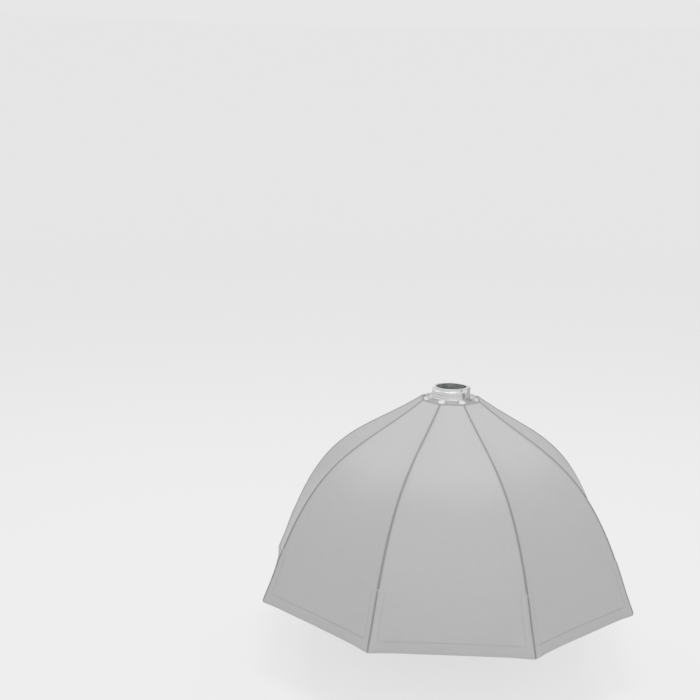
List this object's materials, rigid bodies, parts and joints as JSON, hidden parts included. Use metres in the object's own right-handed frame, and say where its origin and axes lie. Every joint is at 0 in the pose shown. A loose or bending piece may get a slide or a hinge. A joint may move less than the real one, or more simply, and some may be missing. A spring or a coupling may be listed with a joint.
{
  "type": "octabox",
  "caption": "Eight-sided folding softbox for a studio flash: a bayonet ring, hinged ribs with a runner, a sewn canopy and white diffusers.",
  "frame": {"origin": "centre of the mouth, in the plane of the hem's edge that the box stands on", "axes": "+Z along the box's axis from the mouth to the ring; -Y through the middle of a flat side"},
  "size_m": [0.8444, 0.8444, 0.4944],
  "materials": {
    "ring_aluminium": "machined, clear anodised",
    "insert_aluminium": "turned, clear anodised",
    "retainer_paint": "satin black",
    "bracket_plating": "bright nickel plate",
    "fastener_steel": "zinc plated",
    "lever_nylon": "moulded, lightly textured",
    "lever_mount_paint": "satin grey",
    "runner_aluminium": "clear anodised",
    "arm_aluminium": "clear anodised",
    "rod_coating": "black coated spring steel",
    "tip_nylon": "moulded",
    "link_steel": "stamped, nickel plated",
    "canopy_fabric": "coated woven nylon, silver inside",
    "neck_fabric": "coated woven nylon",
    "hem_binding": "bound and stitched",
    "hook_tape": "hook and loop tape",
    "diffuser_cloth": "white translucent cloth",
    "baffle_cloth": "white translucent cloth",
    "strap_elastic": "woven elastic"
  },
  "bodies": {
    "ring_frame": {"speed_ring": "ring_aluminium", "retaining_ring": "retainer_paint", "hinge_brackets": "bracket_plating", "bracket_screws": "fastener_steel", "hinge_pins": "fastener_steel", "lever_mount": "lever_mount_paint", "lever_pin": "fastener_steel", "neck_flap": "neck_fabric", "panel_1": "canopy_fabric", "panel_2": "canopy_fabric", "panel_3": "canopy_fabric", "panel_4": "canopy_fabric", "panel_5": "canopy_fabric", "panel_6": "canopy_fabric", "panel_7": "canopy_fabric", "panel_8": "canopy_fabric", "rim_hem": "hem_binding", "hook_tape": "hook_tape", "front_diffuser": "diffuser_cloth", "inner_baffle": "baffle_cloth", "baffle_straps": "strap_elastic"},
    "insert": {"insert_ring": "insert_aluminium"},
    "lever": {"release_lever": "lever_nylon"},
    "runner": {"runner_ring": "runner_aluminium"},
    "rib_1": {"arm_1": "arm_aluminium", "rod_1": "rod_coating", "rod_tip_1": "tip_nylon"},
    "link_pair_1": {"links_1": "link_steel"},
    "rib_2": {"arm_2": "arm_aluminium", "rod_2": "rod_coating", "rod_tip_2": "tip_nylon"},
    "link_pair_2": {"links_2": "link_steel"},
    "rib_3": {"arm_3": "arm_aluminium", "rod_3": "rod_coating", "rod_tip_3": "tip_nylon"},
    "link_pair_3": {"links_3": "link_steel"},
    "rib_4": {"arm_4": "arm_aluminium", "rod_4": "rod_coating", "rod_tip_4": "tip_nylon"},
    "link_pair_4": {"links_4": "link_steel"},
    "rib_5": {"arm_5": "arm_aluminium", "rod_5": "rod_coating", "rod_tip_5": "tip_nylon"},
    "link_pair_5": {"links_5": "link_steel"},
    "rib_6": {"arm_6": "arm_aluminium", "rod_6": "rod_coating", "rod_tip_6": "tip_nylon"},
    "link_pair_6": {"links_6": "link_steel"},
    "rib_7": {"arm_7": "arm_aluminium", "rod_7": "rod_coating", "rod_tip_7": "tip_nylon"},
    "link_pair_7": {"links_7": "link_steel"},
    "rib_8": {"arm_8": "arm_aluminium", "rod_8": "rod_coating", "rod_tip_8": "tip_nylon"},
    "link_pair_8": {"links_8": "link_steel"}
  },
  "joints": [
    {"name": "rib_fold_1", "type": "hinge", "parent": "ring_frame", "child": "rib_1", "pos_m": [0.02296, -0.05543, 0.4575], "axis": [0.9239, 0.3827, 0], "range_deg": [0, 43], "deforming": ["panel_1", "panel_2", "panel_3", "panel_4", "panel_5", "panel_6", "panel_7", "panel_8", "rim_hem", "hook_tape", "front_diffuser", "inner_baffle", "baffle_straps"]},
    {"name": "rib_fold_2", "type": "hinge", "parent": "ring_frame", "child": "rib_2", "pos_m": [0.05543, -0.02296, 0.4575], "axis": [0.3827, 0.9239, 0], "range_deg": [0, 43]},
    {"name": "rib_fold_3", "type": "hinge", "parent": "ring_frame", "child": "rib_3", "pos_m": [0.05543, 0.02296, 0.4575], "axis": [-0.3827, 0.9239, 0], "range_deg": [0, 43]},
    {"name": "rib_fold_4", "type": "hinge", "parent": "ring_frame", "child": "rib_4", "pos_m": [0.02296, 0.05543, 0.4575], "axis": [-0.9239, 0.3827, 0], "range_deg": [0, 43]},
    {"name": "rib_fold_5", "type": "hinge", "parent": "ring_frame", "child": "rib_5", "pos_m": [-0.02296, 0.05543, 0.4575], "axis": [-0.9239, -0.3827, 0], "range_deg": [0, 43]},
    {"name": "rib_fold_6", "type": "hinge", "parent": "ring_frame", "child": "rib_6", "pos_m": [-0.05543, 0.02296, 0.4575], "axis": [-0.3827, -0.9239, 0], "range_deg": [0, 43]},
    {"name": "rib_fold_7", "type": "hinge", "parent": "ring_frame", "child": "rib_7", "pos_m": [-0.05543, -0.02296, 0.4575], "axis": [0.3827, -0.9239, 0], "range_deg": [0, 43]},
    {"name": "rib_fold_8", "type": "hinge", "parent": "ring_frame", "child": "rib_8", "pos_m": [-0.02296, -0.05543, 0.4575], "axis": [0.9239, -0.3827, 0], "range_deg": [0, 43]},
    {"name": "link_fold_1", "type": "hinge", "parent": "rib_1", "child": "link_pair_1", "pos_m": [0.03947, -0.0953, 0.42848], "axis": [0.9239, 0.3827, 0], "range_deg": [-86.5, 0]},
    {"name": "link_fold_2", "type": "hinge", "parent": "rib_2", "child": "link_pair_2", "pos_m": [0.0953, -0.03947, 0.42848], "axis": [0.3827, 0.9239, 0], "range_deg": [-86.5, 0]},
    {"name": "link_fold_3", "type": "hinge", "parent": "rib_3", "child": "link_pair_3", "pos_m": [0.0953, 0.03947, 0.42848], "axis": [-0.3827, 0.9239, 0], "range_deg": [-86.5, 0]},
    {"name": "link_fold_4", "type": "hinge", "parent": "rib_4", "child": "link_pair_4", "pos_m": [0.03947, 0.0953, 0.42848], "axis": [-0.9239, 0.3827, 0], "range_deg": [-86.5, 0]},
    {"name": "link_fold_5", "type": "hinge", "parent": "rib_5", "child": "link_pair_5", "pos_m": [-0.03947, 0.0953, 0.42848], "axis": [-0.9239, -0.3827, 0], "range_deg": [-86.5, 0]},
    {"name": "link_fold_6", "type": "hinge", "parent": "rib_6", "child": "link_pair_6", "pos_m": [-0.0953, 0.03947, 0.42848], "axis": [-0.3827, -0.9239, 0], "range_deg": [-86.5, 0]},
    {"name": "link_fold_7", "type": "hinge", "parent": "rib_7", "child": "link_pair_7", "pos_m": [-0.0953, -0.03947, 0.42848], "axis": [0.3827, -0.9239, 0], "range_deg": [-86.5, 0]},
    {"name": "link_fold_8", "type": "hinge", "parent": "rib_8", "child": "link_pair_8", "pos_m": [-0.03947, -0.0953, 0.42848], "axis": [0.9239, -0.3827, 0], "range_deg": [-86.5, 0]},
    {"name": "runner_slide", "type": "slide", "parent": "ring_frame", "child": "runner", "axis": [0, 0, -1], "range_m": [0, 0.04347]},
    {"name": "insert_turn", "type": "hinge", "parent": "ring_frame", "child": "insert", "pos_m": [0, 0, 0.47], "axis": [0, 0, 1], "continuous": true},
    {"name": "lever_press", "type": "hinge", "parent": "ring_frame", "child": "lever", "pos_m": [0.03889, -0.03889, 0.472], "axis": [-0.7071, -0.7071, 0], "range_deg": [0, 10], "stiffness_Nm_per_rad": 0.25, "springref_deg": -2.86}
  ],
  "couplings": [
    {"joint": "rib_fold_2", "follows": "rib_fold_1", "ratio": 1},
    {"joint": "rib_fold_3", "follows": "rib_fold_1", "ratio": 1},
    {"joint": "rib_fold_4", "follows": "rib_fold_1", "ratio": 1},
    {"joint": "rib_fold_5", "follows": "rib_fold_1", "ratio": 1},
    {"joint": "rib_fold_6", "follows": "rib_fold_1", "ratio": 1},
    {"joint": "rib_fold_7", "follows": "rib_fold_1", "ratio": 1},
    {"joint": "rib_fold_8", "follows": "rib_fold_1", "ratio": 1},
    {"joint": "link_fold_1", "follows": "rib_fold_1", "ratio": -2},
    {"joint": "link_fold_2", "follows": "rib_fold_1", "ratio": -2},
    {"joint": "link_fold_3", "follows": "rib_fold_1", "ratio": -2},
    {"joint": "link_fold_4", "follows": "rib_fold_1", "ratio": -2},
    {"joint": "link_fold_5", "follows": "rib_fold_1", "ratio": -2},
    {"joint": "link_fold_6", "follows": "rib_fold_1", "ratio": -2},
    {"joint": "link_fold_7", "follows": "rib_fold_1", "ratio": -2},
    {"joint": "link_fold_8", "follows": "rib_fold_1", "ratio": -2},
    {"joint": "runner_slide", "follows": "rib_fold_1", "m_per_rad": 0.05765}
  ]
}
